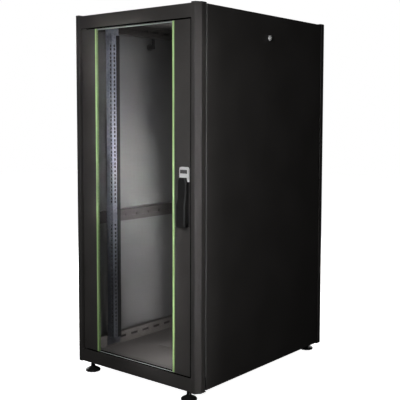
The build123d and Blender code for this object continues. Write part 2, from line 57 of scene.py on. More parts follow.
# Noise scales, in features per metre.
CLOUD = 6.0
DUST = 420.0
PEEL = 260.0
FINE_PEEL = 1400.0
RUB = 35.0


class Shader:
    """A node tree with a Principled shader, and short calls to wire it."""

    def __init__(self, name):
        self.material = bpy.data.materials.new(name)
        self.material.use_nodes = True
        self.tree = self.material.node_tree
        self.bsdf = self.tree.nodes["Principled BSDF"]
        self.output = self.tree.nodes["Material Output"]
        self.place = self.add("ShaderNodeTexCoord").outputs["Object"]

    def add(self, kind, **settings):
        node = self.tree.nodes.new(kind)
        for key, value in settings.items():
            setattr(node, key, value)
        return node

    def link(self, source, target):
        self.tree.links.new(source, target)

    def set(self, **values):
        for key, value in values.items():
            self.bsdf.inputs[key.replace("_", " ")].default_value = value

    def part_of(self, vector, axis):
        split = self.add("ShaderNodeSeparateXYZ")
        self.link(vector, split.inputs["Vector"])
        return split.outputs[axis]

    def height(self):
        """Each point's height above the floor."""
        return self.part_of(self.place, "Z")

    def off_middle(self, axis):
        """How far each point is from the cabinet's middle plane across an axis."""
        return self.absolute(self.part_of(self.place, axis))

    def noise(self, scale, detail=2.0, stretch=(1, 1, 1)):
        mapping = self.add("ShaderNodeMapping")
        mapping.inputs["Scale"].default_value = stretch
        self.link(self.place, mapping.inputs["Vector"])
        node = self.add("ShaderNodeTexNoise")
        node.inputs["Scale"].default_value = scale
        node.inputs["Detail"].default_value = detail
        self.link(mapping.outputs["Vector"], node.inputs["Vector"])
        return node.outputs["Fac"]

    def crystals(self, scale):
        """A share that is the same all over each crystal of a zinc coat."""
        node = self.add("ShaderNodeTexVoronoi")
        node.inputs["Scale"].default_value = scale
        self.link(self.place, node.inputs["Vector"])
        patch = self.add("ShaderNodeSeparateColor")
        self.link(node.outputs["Color"], patch.inputs["Color"])
        return patch.outputs["Red"]

    def math(self, operation, first, second=0.0):
        node = self.add("ShaderNodeMath", operation=operation)
        for socket, value in zip(node.inputs, (first, second)):
            if isinstance(value, (int, float)):
                socket.default_value = value
            else:
                self.link(value, socket)
        return node.outputs["Value"]

    def absolute(self, value):
        return self.math("ABSOLUTE", value)

    def range(self, value, low, high, start=0.0, end=1.0):
        """From low to high as value goes from start to end."""
        node = self.add("ShaderNodeMapRange")
        self.link(value, node.inputs["Value"])
        sockets = ("From Min", "From Max", "To Min", "To Max")
        for key, number in zip(sockets, (start, end, low, high)):
            node.inputs[key].default_value = number
        return node.outputs["Result"]

    def beyond(self, place, between, share=1.0, origin=0.0):
        """0 rising to share as place passes two positions in millimetres from an origin."""
        return self.range(place, 0.0, share, *(origin + edge * MM for edge in between))

    def within(self, place, between, share=1.0, origin=0.0):
        """share falling to 0 as place passes two positions in millimetres from an origin."""
        return self.range(place, share, 0.0, *(origin + edge * MM for edge in between))

    def blend(self, amount, first, second):
        node = self.add("ShaderNodeMix", data_type="RGBA")
        self.link(amount, node.inputs["Factor"])
        for socket, colour in zip((node.inputs[6], node.inputs[7]), (first, second)):
            if isinstance(colour, tuple):
                socket.default_value = (*colour, 1.0)
            else:
                self.link(colour, socket)
        return node.outputs[2]

    def mix(self, amount, first, second):
        """A mix of two whole shaders."""
        node = self.add("ShaderNodeMixShader")
        for socket, source in zip(node.inputs, (amount, first, second)):
            self.link(source, socket)
        return node.outputs["Shader"]

    def bump(self, height, strength, distance, normal):
        node = self.add("ShaderNodeBump")
        node.inputs["Strength"].default_value = strength
        node.inputs["Distance"].default_value = distance
        self.link(height, node.inputs["Height"])
        self.link(normal, node.inputs["Normal"])
        return node.outputs["Normal"]

    def soft_edge(self, radius):
        """The normal of edges rounded by radius, and how much of an edge each point is."""
        bevel = self.add("ShaderNodeBevel", samples=6)
        bevel.inputs["Radius"].default_value = radius
        flat = self.add("ShaderNodeNewGeometry").outputs["Normal"]
        dot = self.add("ShaderNodeVectorMath", operation="DOT_PRODUCT")
        self.link(bevel.outputs["Normal"], dot.inputs[0])
        self.link(flat, dot.inputs[1])
        return bevel.outputs["Normal"], self.range(dot.outputs["Value"], 1.0, 0.0, 0.8, 0.99)

    def finish(self, colour, rough, normal):
        sources = ((colour, "Base Color"), (rough, "Roughness"), (normal, "Normal"))
        for source, name in sources:
            self.link(source, self.bsdf.inputs[name])
        return self.material


def grey(value):
    return (value, value, value)


def warm(value):
    """A black or grey with a little brown in it."""
    return (1.06 * value, 0.99 * value, 0.95 * value)


def scaled(colour, share):
    return tuple(share * part for part in colour)


# Painted shade and other finish changes over one CAD piece ------------------------------

# A finish that changes over one CAD piece does so between two positions in millimetres. X and
# Y count from the cabinet's middle planes and Z from the floor, unless the name says otherwise.
RETURN_INNER_X = (265.0, 265.6)
RETURN_FRONT_Y = (397.6, 398.4)
RETURN_BACK_Y = (366.0, 370.0)
DOOR_EDGE_SHADE_X = (260.6, 261.4)
HOLLOW_PAST_WALL = (0.5, 0.9)
RAIL_SHADE_Z = (300.0, 800.0)
RAIL_LEG_BACK_Y = (256.0, 257.0)
PANEL_SKIN_FROM_OUTSIDE = (-1.4, -1.1)
RAILS_Y = 205.0
BAND_FROM_RAILS = (27.0, 35.0)
BAND_BY_MEMBER_Z = (82.0, 88.0)
PLUG_OUTSIDE_X = (296.0, 296.5)
HANDLE_HEAD_Z = (741.9, 742.1)
TRIM_HALF_WIDTH = 5.0
TRIM_SIDE_SHADE = (2.6, 4.4)
GLASS_BAND_LOW_FROM_TOP = (-6.0, -5.0)
GLASS_BAND_HIGH_FROM_TOP = (-2.8, -2.0)


def reveal_shade(shader):
    """Painted shade on the returns that face the doors' edges, behind the frame's front and rear
    faces.
    """
    along = shader.off_middle("Y")
    inner = shader.within(shader.off_middle("X"), RETURN_INNER_X)
    behind = shader.within(along, RETURN_FRONT_Y)
    near = shader.beyond(along, RETURN_BACK_Y)
    return shader.math("MULTIPLY", inner, shader.math("MULTIPLY", behind, near))


def door_edge_shade(shader):
    """Painted shadow along each door's outer edges, where the gap to the frame is."""
    return shader.beyond(shader.off_middle("X"), DOOR_EDGE_SHADE_X)


def hollow_shade(shader):
    """Painted shade on all of a side member behind its inner wall: the hollow seen through its
    slots, and its top.
    """
    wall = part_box("bottom_member_right")[0].x
    return shader.beyond(shader.off_middle("X"), HOLLOW_PAST_WALL, 0.6, wall)


def low_shade(shader):
    """Painted shade on the 19-inch rails and their brackets, darker towards the floor."""
    return shader.within(shader.height(), RAIL_SHADE_Z, 0.75)


def leg_shade(shader):
    """Painted shade on the rear part of each rail's side leg, behind its row of holes, besides the
    low shade.
    """
    back = shader.within(shader.off_middle("Y"), RAIL_LEG_BACK_Y)
    return shader.math("MAXIMUM", low_shade(shader), back)


# Finishes -------------------------------------------------------------------------------

def powder_tone(shader, cloud, speck, edge, tones, dust):
    """A cloudy tone with dust in the grain and rubbed edges: dark, light, dusty and worn."""
    dark, light, dusty, worn = (warm(tone) for tone in tones)
    tone = shader.blend(shader.range(cloud, 0.0, 1.0, 0.35, 0.68), dark, light)
    tone = shader.blend(shader.range(speck, 0.0, dust, 0.62, 0.8), tone, dusty)
    rub = shader.range(shader.noise(RUB, 4.0), 0.15, 0.8, 0.4, 0.65)
    return shader.blend(shader.math("MULTIPLY", edge, rub), tone, worn)


def powder_shine(shader, cloud, speck, low, high):
    return shader.math("ADD", shader.range(cloud, low, high, 0.3, 0.7),
                       shader.range(speck, -0.03, 0.05, 0.3, 0.7))


def orange_peel(shader, rounded):
    normal = shader.bump(shader.noise(PEEL, 2.0), 0.22, 0.5 * MM, rounded)
    return shader.bump(shader.noise(FINE_PEEL, 1.0), 0.3, 0.12 * MM, normal)


def powder_coat(name, dark, light, worn, rough, shade=None):
    """Fine-textured powder coat: cloudy tone, orange peel, dust in the grain, rubbed edges.

    shade(shader) gives the share of painted shade, near black and without shine, where the finish
    has one.
    """
    shader = Shader(name)
    cloud = shader.noise(CLOUD, 4.0)
    speck = shader.noise(DUST, 3.0)
    rounded, edge = shader.soft_edge(0.9 * MM)
    tone = powder_tone(shader, cloud, speck, edge, (dark, light, worn, worn), 0.5)
    shine = powder_shine(shader, cloud, speck, rough - 0.05, rough + 0.06)
    if shade:
        painted_shade = shade(shader)
        # Painted shade: near black, with its shine fading out.
        tone = shader.blend(painted_shade, tone, grey(0.004))
        shader.link(shader.range(painted_shade, 0.5, 0.0), shader.bsdf.inputs["Specular IOR Level"])
    shader.set(IOR=1.5)
    return shader.finish(tone, shine, orange_peel(shader, rounded))


def side_panel_coat(name, outside, inside):
    """The panels' powder coat, with a lighter grey on their inner faces.

    A band of painted shadow on the inner face follows each pair of rails and the bottom member.
    """
    shader = Shader(name)
    cloud = shader.noise(CLOUD, 4.0)
    speck = shader.noise(DUST, 3.0)
    rounded, edge = shader.soft_edge(0.9 * MM)
    tones = (0.9 * outside, 1.1 * outside, 2 * outside, 1.4 * outside)
    outer = powder_tone(shader, cloud, speck, edge, tones, 0.4)
    inner = shader.blend(shader.range(cloud, 0.0, 1.0, 0.3, 0.7),
                         grey(0.92 * inside), grey(1.08 * inside))
    from_rails = shader.absolute(shader.math("SUBTRACT", shader.off_middle("Y"), RAILS_Y * MM))
    painted_shadow_band = shader.math("MAXIMUM", shader.within(from_rails, BAND_FROM_RAILS),
                            shader.within(shader.height(), BAND_BY_MEMBER_Z))
    # Painted shadow: near black behind each pair of rails and along the bottom member.
    inner = shader.blend(painted_shadow_band, inner, grey(0.02))
    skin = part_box("side_panel_right")[1].x
    behind = shader.within(shader.off_middle("X"), PANEL_SKIN_FROM_OUTSIDE, 1.0, skin)
    shine = powder_shine(shader, cloud, speck, 0.42, 0.52)
    shader.set(IOR=1.5)
    return shader.finish(shader.blend(behind, outer, inner), shine, orange_peel(shader, rounded))


def side_plug_metal(name):
    """Bright metal where a side panel's lock shows outside, dull dark zinc on its inner end."""
    shader = Shader(name)
    speck = shader.noise(1500.0, 2.0)
    rounded = shader.soft_edge(0.4 * MM)[0]
    bright = shader.blend(speck, grey(0.78), grey(0.9))
    dull = shader.blend(speck, grey(0.02), grey(0.04))
    outside = shader.beyond(shader.off_middle("X"), PLUG_OUTSIDE_X)
    shader.set(IOR=1.5, Metallic=0.15)
    return shader.finish(shader.blend(outside, dull, bright),
                         shader.range(speck, 0.24, 0.36, 0.2, 0.8),
                         shader.bump(speck, 0.1, 0.05 * MM, rounded))


def handle_base_coat(name):
    """Black handle plastic, with a bright sleeve round its head."""
    shader = Shader(name)
    speck = shader.noise(1100.0, 2.0)
    rounded, edge = shader.soft_edge(0.6 * MM)
    black = shader.blend(speck, grey(0.004), grey(0.007))
    black = shader.blend(shader.math("MULTIPLY", edge, 0.4), black, grey(0.03))
    bright = shader.blend(speck, grey(0.62), grey(0.74))
    head = shader.beyond(shader.height(), HANDLE_HEAD_Z)
    shader.set(IOR=1.45, Metallic=0.1)
    return shader.finish(shader.blend(head, black, bright),
                         shader.range(speck, 0.42, 0.55, 0.2, 0.8),
                         shader.bump(speck, 0.12, 0.1 * MM, rounded))


def plastic(name, dark, light, rough, grain_scale=900.0, relief=0.1):
    """Moulded plastic with a spark-eroded grain, relief millimetres deep."""
    shader = Shader(name)
    cloud = shader.noise(9.0, 3.0)
    grain = shader.noise(grain_scale, 2.0)
    rounded, edge = shader.soft_edge(0.6 * MM)
    tone = shader.blend(shader.range(cloud, 0.0, 1.0, 0.35, 0.7), grey(dark), grey(light))
    tone = shader.blend(shader.math("MULTIPLY", edge, 0.35), tone, grey(3.0 * light))
    shine = shader.range(cloud, rough - 0.05, rough + 0.06, 0.3, 0.7)
    shader.set(IOR=1.47)
    return shader.finish(tone, shine, shader.bump(grain, 0.35, relief * MM, rounded))


def plated(name, tones, rough, stretch, grain_scale, spangle=0.0, metal=1.0, shade=None):
    """Plated metal: drawn grain along stretch, light crystal patches and rubbed edges.

    shade(shader) gives the share of painted shade, a near-black tone, where the finish has one.
    """
    shader = Shader(name)
    cloud = shader.noise(11.0, 4.0)
    grain = shader.noise(grain_scale, 3.0, stretch)
    rounded, edge = shader.soft_edge(0.5 * MM)
    tone = shader.blend(shader.range(cloud, 0.0, 1.0, 0.3, 0.7), *tones)
    if spangle:
        patches = shader.math("MULTIPLY", shader.crystals(130.0), spangle)
        tone = shader.blend(patches, tone, grey(0.8))
    tone = shader.blend(shader.math("MULTIPLY", edge, 0.5), tone, grey(0.85))
    shine = shader.math("ADD", shader.range(cloud, rough - 0.04, rough + 0.07, 0.3, 0.7),
                        shader.range(grain, -0.05, 0.07, 0.3, 0.7))
    if shade:
        # Painted shade: the tone turns near black.
        tone = shader.blend(shade(shader), tone, grey(0.02))
    shader.set(Metallic=metal)
    return shader.finish(tone, shine, shader.bump(grain, 0.18, 0.05 * MM, rounded))


def satin_green(name, dark, light):
    """Green coated aluminium with a fine drawn grain under it, with painted shade on both sides of
    each strip.
    """
    shader = Shader(name)
    cloud = shader.noise(8.0, 3.0)
    grain = shader.noise(500.0, 2.0, (1, 1, 0.04))
    rounded, edge = shader.soft_edge(0.5 * MM)
    tone = shader.blend(shader.range(cloud, 0.0, 1.0, 0.3, 0.7), dark, light)
    rubbed = tuple(min(1.0, part) for part in scaled(light, 1.4))
    tone = shader.blend(shader.math("MULTIPLY", edge, 0.3), tone, rubbed)
    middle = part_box("door_trims")[1].x - TRIM_HALF_WIDTH * MM
    off = shader.absolute(shader.math("SUBTRACT", shader.off_middle("X"), middle))
    # Painted shade on both sides of the strip, as on a crowned strip.
    tone = shader.blend(shader.beyond(off, TRIM_SIDE_SHADE), tone, scaled(dark, 0.3))
    shader.set(IOR=1.5, Coat_Weight=0.25, Coat_Roughness=0.2)
    return shader.finish(tone, shader.range(grain, 0.32, 0.46, 0.3, 0.7),
                         shader.bump(grain, 0.12, 0.05 * MM, rounded))


def tinted_glass(name, tint):
    """A look for the glass as a film: tinted see-through, a mirror share by Fresnel, ground edges,
    and a painted highlight just under the top edge.
    """
    shader = Shader(name)
    shader.tree.nodes.remove(shader.bsdf)
    film = shader.noise(3.0, 4.0)
    clear = shader.add("ShaderNodeBsdfTransparent")
    shader.link(shader.blend(film, scaled(tint, 0.97), tint), clear.inputs["Color"])
    mirror = shader.add("ShaderNodeBsdfGlossy")
    mirror.inputs["Color"].default_value = (1, 1, 1, 1)
    shader.link(shader.range(film, 0.01, 0.045, 0.4, 0.7), mirror.inputs["Roughness"])
    slant = shader.add("ShaderNodeLayerWeight").outputs["Facing"]
    fresnel = shader.range(shader.math("POWER", slant, 5.0), 0.035, 1.0)
    pane = shader.mix(fresnel, clear.outputs["BSDF"], mirror.outputs["BSDF"])
    ground = shader.add("ShaderNodeBsdfDiffuse")
    frost = shader.noise(700.0, 2.0)
    frost_and_highlight = shader.blend(frost, (0.30, 0.34, 0.33), (0.46, 0.50, 0.49))
    shader.link(frost_and_highlight, ground.inputs["Color"])
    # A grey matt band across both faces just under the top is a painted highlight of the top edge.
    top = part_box("door_glass")[1].z
    painted_top_highlight = shader.math("MULTIPLY",
                           shader.beyond(shader.height(), GLASS_BAND_LOW_FROM_TOP, 0.8, top),
                           shader.within(shader.height(), GLASS_BAND_HIGH_FROM_TOP, 1.0, top))
    normal = shader.add("ShaderNodeNewGeometry").outputs["Normal"]
    side = shader.range(shader.absolute(shader.part_of(normal, "Y")), 0.8, 0.0, 0.2, 0.6)
    whole = shader.mix(shader.math("MAXIMUM", painted_top_highlight, side), pane, ground.outputs["BSDF"])
    shader.link(whole, shader.output.inputs["Surface"])
    return shader.material


UPRIGHT_GRAIN = (1, 1, 0.05)
SIDEWAYS_GRAIN = (0.06, 1, 1)
EVEN_GRAIN = (1, 1, 1)
RAIL_TONES = ((0.20, 0.225, 0.28), (0.30, 0.33, 0.40))
LEG_TONES = ((0.24, 0.27, 0.335), (0.34, 0.375, 0.455))
BOLT_TONES = ((0.50, 0.50, 0.50), (0.66, 0.66, 0.64))
CHROME_TONES = (grey(0.80), grey(0.90))
COVER_TONES = (grey(0.66), grey(0.76))


def rail_coat(name, tones, shade=None):
    """The blue-grey zinc of the 19-inch rails."""
    return plated(name, tones, 0.42, UPRIGHT_GRAIN, 260.0, 0.2, 0.45, shade)


def make_finishes():
    """A finish for each material slot."""
    return {
        "frame_black": powder_coat("frame_powder", 0.040, 0.052, 0.10, 0.44, reveal_shade),
        "panel_black": powder_coat("panel_powder", 0.038, 0.049, 0.09, 0.46),
        # The doors' coat carries painted shadow along their outer edges.
        "door_black": powder_coat("door_powder", 0.042, 0.055, 0.10, 0.44, door_edge_shade),
        "floor_black": powder_coat("floor_powder", 0.060, 0.080, 0.14, 0.42),
        "cap_black": plastic("cap_plastic", 0.030, 0.040, 0.45),
        "tinted_glass": tinted_glass("tinted_glass", (0.79, 0.785, 0.785)),
        "trim_green": satin_green("trim_green", (0.44, 0.65, 0.27), (0.51, 0.74, 0.34)),
        "rail_zinc": rail_coat("rail_zinc", RAIL_TONES),
        "zinc": plated("bolt_zinc", BOLT_TONES, 0.32, EVEN_GRAIN, 900.0, 0.2),
        "bushing": plastic("bushing_plastic", 0.05, 0.07, 0.5),
        "lock_bright": plated("lock_chrome", CHROME_TONES, 0.24, EVEN_GRAIN, 1500.0, metal=0.15),
        "cover_bright": plated("cover_satin", COVER_TONES, 0.30, SIDEWAYS_GRAIN, 900.0, metal=0.3),
        "handle_black": plastic("handle_plastic", 0.004, 0.007, 0.6, 1100.0, 0.12),
        "foot_black": plastic("foot_plating", 0.012, 0.018, 0.38),
        "brush_black": plastic("bristle_nylon", 0.010, 0.020, 0.55),
    }


def make_own_finishes(finishes):
    """Finishes for CAD nodes that look different from others of their slot, by part of name."""
    panels = side_panel_coat("side_panel_powder", 0.043, 0.14)
    base = handle_base_coat("handle_base_plastic")
    legs = rail_coat("rail_leg_zinc", LEG_TONES, leg_shade)
    brackets = rail_coat("rail_bracket_zinc", RAIL_TONES, low_shade)
    posts = powder_coat("post_powder", 0.035, 0.045, 0.09, 0.53, reveal_shade)
    members = powder_coat("member_powder", 0.11, 0.14, 0.2, 0.42, hollow_shade)
    return {
        "side_panel_": panels,
        "_handle_base": base,
        "rack_rail_": legs,
        "rail_fixings_": brackets,
        "post_front_": posts,
        "post_rear_": posts,
        "bottom_member_": members,
        "side_lock_plug_": side_plug_metal("side_plug_metal"),
        "side_lock_case_": finishes["cap_black"],
        "_hinge_pins": finishes["foot_black"],
    }


def paint_nodes(finishes):
    """Give each CAD node its own finish, or else its slot's."""
    own = make_own_finishes(finishes)
    for part in frame["record"]["subparts"]:
        materials = NODES[part["node"]].data.materials
        materials.clear()
        fitting = [own[words] for words in own if words in part["node"]]
        materials.append(fitting[0] if fitting else finishes[part["material_slot"]])


# Detail pieces ------------------------------------------------------------------------

# Lengths and places here are in millimetres, and those of a door are the front door's.

def make_piece(name, mesh, body, slot, stands_for=()):
    """Turn a bmesh into an object that rides on a body and wears a slot's finish."""
    bmesh.ops.recalc_face_normals(mesh, faces=mesh.faces)
    data = bpy.data.meshes.new(name)
    mesh.to_mesh(data)
    mesh.free()
    data.shade_smooth()
    data.materials.append(FINISHES[slot])
    piece = bpy.data.objects.new(name, data)
    bpy.context.scene.collection.objects.link(piece)
    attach(piece, body)
    if stands_for:
        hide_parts(*stands_for)
    return piece


def sharpen(piece, degrees):
    """Smooth shading that breaks at edges sharper than the angle."""
    piece.data.set_sharp_from_angle(angle=math.radians(degrees))


def add_prism(mesh, rings):
    """Skin a list of equally long point rings, closing both ends."""
    loops = [[mesh.verts.new(point) for point in ring] for ring in rings]
    count = len(loops[0])
    for low, high in zip(loops, loops[1:]):
        for index in range(count):
            after = (index + 1) % count
            mesh.faces.new((low[index], low[after], high[after], high[index]))
    mesh.faces.new(list(reversed(loops[0])))
    mesh.faces.new(loops[-1])


def placed(points, end="front"):
    """Points in metres, turned half round the upright axis for the rear door."""
    way = -1 if end == "rear" else 1
    return [Vector((way * x, way * y, z)) * MM for x, y, z in points]


def rounded_rectangle(half, front, back, front_r, back_r, z, steps=6):
    """Points round a lever's section at height z, with its own radii in front and behind."""
    corners = (
        (half - back_r, back - back_r, back_r, 0),
        (-half + back_r, back - back_r, back_r, 90),
        (-half + front_r, front + front_r, front_r, 180),
        (half - front_r, front + front_r, front_r, 270),
    )
    points = []
    for x, y, radius, start in corners:
        for step in range(steps + 1):
            angle = math.radians(start + 90 * step / steps)
            points.append(Vector((x + radius * math.cos(angle), y + radius * math.sin(angle), z)))
    return points


HANDLE_X = 239.0
LEVER_LOW_Z = 591
LEVER_TOP_Z = 756
EYE_Y = -409
EYE_Z = 612
EYE_RADIUS = 10.5
HEEL_TOP_Z = EYE_Z - EYE_RADIUS
HEEL_SLANT = 3
TAPER_HEIGHT = 16
TAPER = 3.8
FRONT_RADIUS = 4.2
BACK_RADIUS = 1.6
DISHED_DEPTH = 0.8
LEVER_LEVELS = [
    LEVER_LOW_Z, 591.6, 593, 595, 598, HEEL_TOP_Z, 603, 605, 608, EYE_Z,
    *(EYE_Z + 3 * step for step in range(1, 48)),
    754.5, 755.6, LEVER_TOP_Z,
]
# What changes along the lever: the values before and after, and the heights between.
LEVER_HALF_WIDTH = ((20.0, 18.8), (660, 690))
LEVER_INSET = ((0.9, 0.0), (754, LEVER_TOP_Z))
LEVER_FRONT_Y = ((-419.5, -412.5), (664, 690))
LEVER_BACK_Y = ((-398.6, -401.5), (682, 692))
HEEL_ROUNDING = ((2.4, 0.0), (LEVER_LOW_Z, 597))
TIP_ROUNDING = ((0.0, 2.6), (750, LEVER_TOP_Z))
DISH_START = ((0.0, 0.55), (694, 706))
DISH_END = ((1.0, 0.0), (734, 746))


def ease(change, z):
    """The value of a change at height z, with a smooth step between its two heights."""
    (low, high), (start, end) = change
    share = min(1.0, max(0.0, (z - start) / (end - start)))
    return low + (high - low) * share * share * (3 - 2 * share)


def lever_section(z):
    """Half width, front and back of the lever at height z."""
    taper = max(0, z - (LEVER_TOP_Z - TAPER_HEIGHT)) / TAPER_HEIGHT * TAPER
    half = ease(LEVER_HALF_WIDTH, z) - taper
    front = ease(LEVER_FRONT_Y, z) + ease(TIP_ROUNDING, z) + ease(HEEL_ROUNDING, z)
    back = ease(LEVER_BACK_Y, z)
    if z < HEEL_TOP_Z:
        back = EYE_Y - (HEEL_TOP_Z - z) / (HEEL_TOP_Z - LEVER_LOW_Z) * HEEL_SLANT
    elif z < EYE_Z:
        back = EYE_Y + math.sqrt(EYE_RADIUS ** 2 - (EYE_Z - z) ** 2)
    return half, front, back


def add_lever(end):
    """The swing handle's lever, with a softened section and a dished front."""
    mesh = bmesh.new()
    rings = []
    for z in LEVER_LEVELS:
        half, front, back = lever_section(z)
        front_r = min(FRONT_RADIUS, 0.45 * (back - front))
        back_r = min(BACK_RADIUS, 0.3 * (back - front))
        ring = rounded_rectangle(half - ease(LEVER_INSET, z), front, back, front_r, back_r, z)
        dish = ease(DISH_START, z) * ease(DISH_END, z)
        for point in ring:
            if point.y < front + DISHED_DEPTH:
                point.y += dish * (1 - (point.x / half) ** 2)
            point.x += HANDLE_X
        rings.append(placed(ring, end))
    add_prism(mesh, rings)
    piece = make_piece(f"{end}_grip_soft", mesh, f"{end}_grip", "handle_black",
                       (f"{end}_handle_grip",))
    sharpen(piece, 40)


INLAY_HALF = 15.3
INLAY_Z = (769.5, 781.8)
INLAY_BACK_Y = -400.9
INLAY_FLOOR_Y = -401.15
INLAY_CREST_Y = -401.6
INLAY_BEVEL = (0.3, 0.25)
RIBS = 7


def add_inlay(end):
    """A dark ribbed insert that fills the lock cover's recess and laps over its rim."""
    left, right = HANDLE_X - INLAY_HALF, HANDLE_X + INLAY_HALF
    pitch = 2 * INLAY_HALF / RIBS
    outline = [(left, INLAY_BACK_Y), (left, INLAY_FLOOR_Y)]
    for rib in range(RIBS):
        start = left + rib * pitch
        outline += [(start + 0.2 * pitch, INLAY_FLOOR_Y), (start + 0.3 * pitch, INLAY_CREST_Y),
                    (start + 0.7 * pitch, INLAY_CREST_Y), (start + 0.8 * pitch, INLAY_FLOOR_Y)]
    outline += [(right, INLAY_FLOOR_Y), (right, INLAY_BACK_Y)]
    low, high = INLAY_Z
    rise, inset = INLAY_BEVEL
    mesh = bmesh.new()
    rings = [placed([(x, y if y == INLAY_BACK_Y else y + back, z) for x, y in outline], end)
             for z, back in ((low, inset), (low + rise, 0), (high - rise, 0), (high, inset))]
    add_prism(mesh, rings)
    piece = make_piece(f"{end}_cover_inlay", mesh, f"{end}_lock_cover", "bushing")
    sharpen(piece, 35)


SEAL_HALF = 4.5
SEAL_BACK_Y = -371
SEAL_END_SHARE = 0.65
SEAL_STEP = 60
# X, the Y of the crest, and the Z spans that the seal covers.
SEALS = {
    "lock_seal": (257.5, -376.4, ((90, 590), (634, 1270))),
    "hinge_seal": (-257.5, -374.0, ((90, 1270),)),
}


def add_seal(kind, end):
    """A foam D-section glued along a door stop."""
    x, crest, spans = SEALS[kind]
    mesh = bmesh.new()
    for low, high in spans:
        rings = []
        steps = max(2, round((high - low) / SEAL_STEP))
        for step in range(steps + 1):
            z = low + (high - low) * step / steps
            bulge = (crest - SEAL_BACK_Y) * (SEAL_END_SHARE if step in (0, steps) else 1)
            angles = [math.pi * index / 12 for index in range(13)]
            rings.append(placed([(x + SEAL_HALF * math.cos(angle),
                                  SEAL_BACK_Y + bulge * math.sin(angle), z)
                                 for angle in angles], end))
        add_prism(mesh, rings)
    piece = make_piece(f"{end}_{kind}", mesh, "frame", "bushing")
    sharpen(piece, 60)


LOCK_Z = 1240.0
LOCK_SUNK = 0.2
# Radius, and how far the ring stands out from the foot of the face.
LOCK_PROFILE = ((5.8, 0.0), (5.8, 0.7), (10.2, 0.8), (10.2, 1.3), (9.4, 3.2), (7.4, 5.2),
                (4.8, 6.5), (2.4, 6.9), (1.2, 7.0))
LOCK_SEGMENTS = 48
KEYWAY_HALF_WIDTH = 0.5
KEYWAY_HALF_HEIGHT = 2.2
KEYWAY_RISE = (6.2, 7.06)


def add_lock_face(side, way):
    """The domed face of a side panel's lock, with its keyway."""
    low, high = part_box(f"side_lock_plug_{side}")
    middle_y = (low.y + high.y) / 2 / MM
    foot = (high.x if way > 0 else -low.x) / MM - LOCK_SUNK
    angles = [math.tau * index / LOCK_SEGMENTS for index in range(LOCK_SEGMENTS)]
    face = bmesh.new()
    add_prism(face, [placed([(way * (foot + rise), middle_y + radius * math.cos(angle),
                              LOCK_Z + radius * math.sin(angle)) for angle in angles])
                     for radius, rise in LOCK_PROFILE])
    piece = make_piece(f"side_lock_face_{side}", face, f"side_lock_{side}", "lock_bright")
    sharpen(piece, 50)
    wide, tall = KEYWAY_HALF_WIDTH, KEYWAY_HALF_HEIGHT
    corners = ((-wide, -tall), (wide, -tall), (wide, tall), (-wide, tall))
    key = bmesh.new()
    add_prism(key, [placed([(way * (foot + rise), middle_y + y, LOCK_Z + z) for y, z in corners])
                    for rise in KEYWAY_RISE])
    make_piece(f"side_lock_keyway_{side}", key, f"side_lock_{side}", "handle_black")


CARRIER_EDGE = 40
CARRIER_DEPTH = 12
CARRIER_WALL = 1.2
BRISTLE_COUNT = 290
BRISTLE_RADIUS = 0.22
BRISTLE_REACH = 23.4
BRISTLE_ROW_DROP = 1.3
BRISTLE_ANGLES = (0.0, 2.1, 4.2)


def carrier_rings(low_x, high_x, edge, mouth, top, way):
    """A folded strip that grips the bristles, open towards the slot."""
    fold = edge - way * CARRIER_WALL
    profile = [(edge, top), (edge, top - CARRIER_WALL), (mouth, top - CARRIER_WALL),
               (mouth, top - 3), (fold, top - 3.2), (fold, top - 6.6), (mouth, top - 6.8),
               (mouth, top - 8.6), (edge, top - 8.8)]
    return [placed([(x, y, z) for y, z in profile])
            for x in (low_x, low_x + 1, high_x - 1, high_x)]


def bristle_rings(x, z, root_y, tip_y, lean):
    """A slender three-sided bristle that narrows, leans and hangs towards its tip."""
    rings = []
    for share in (0.0, 0.5, 1.0):
        y = root_y + (tip_y - root_y) * share
        size = BRISTLE_RADIUS * (1 - 0.35 * share)
        middle_x = x + lean * share * share
        middle_z = z - 0.7 * share * share
        rings.append(placed([(middle_x + size * math.cos(angle), y,
                              middle_z + size * math.sin(angle)) for angle in BRISTLE_ANGLES]))
    return rings


def add_brush():
    """Bristle strips in folded carriers, over the roof's cable slot."""
    low, high = (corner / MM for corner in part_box("roof_brush"))
    middle = (low.y + high.y) / 2
    top = high.z
    carriers = bmesh.new()
    bristles = bmesh.new()
    dice = random.Random(5)
    for way in (-1, 1):
        edge = middle + way * CARRIER_EDGE
        mouth = edge - way * CARRIER_DEPTH
        add_prism(carriers, carrier_rings(low.x, high.x, edge, mouth, top, way))
        for row in range(2):
            for index in range(BRISTLE_COUNT):
                share = (index + 0.5 * row) / BRISTLE_COUNT
                x = low.x + 3 + (high.x - low.x - 6) * share
                z = top - 4.2 - BRISTLE_ROW_DROP * row + dice.uniform(-0.2, 0.2)
                reach = BRISTLE_REACH + dice.uniform(-1.6, 0.6)
                lean = dice.uniform(-0.9, 0.9)
                rings = bristle_rings(x, z, mouth + way * 4, mouth - way * reach, lean)
                add_prism(bristles, rings)
    brush = make_piece("roof_bristles", bristles, "frame", "brush_black", ("roof_brush",))
    sharpen(brush, 80)
    carrier = make_piece("roof_brush_carriers", carriers, "frame", "rail_zinc")
    sharpen(carrier, 30)


# Stage --------------------------------------------------------------------------------

CAMERA_PLACE = (1.8716, -2.2745, 0.9468)
CAMERA_YAW, CAMERA_PITCH, CAMERA_ROLL = -38.92, -4.216, 0.159
CAMERA_LENS = 68.14
CAMERA_SHIFT = (-0.0298, -0.0615)


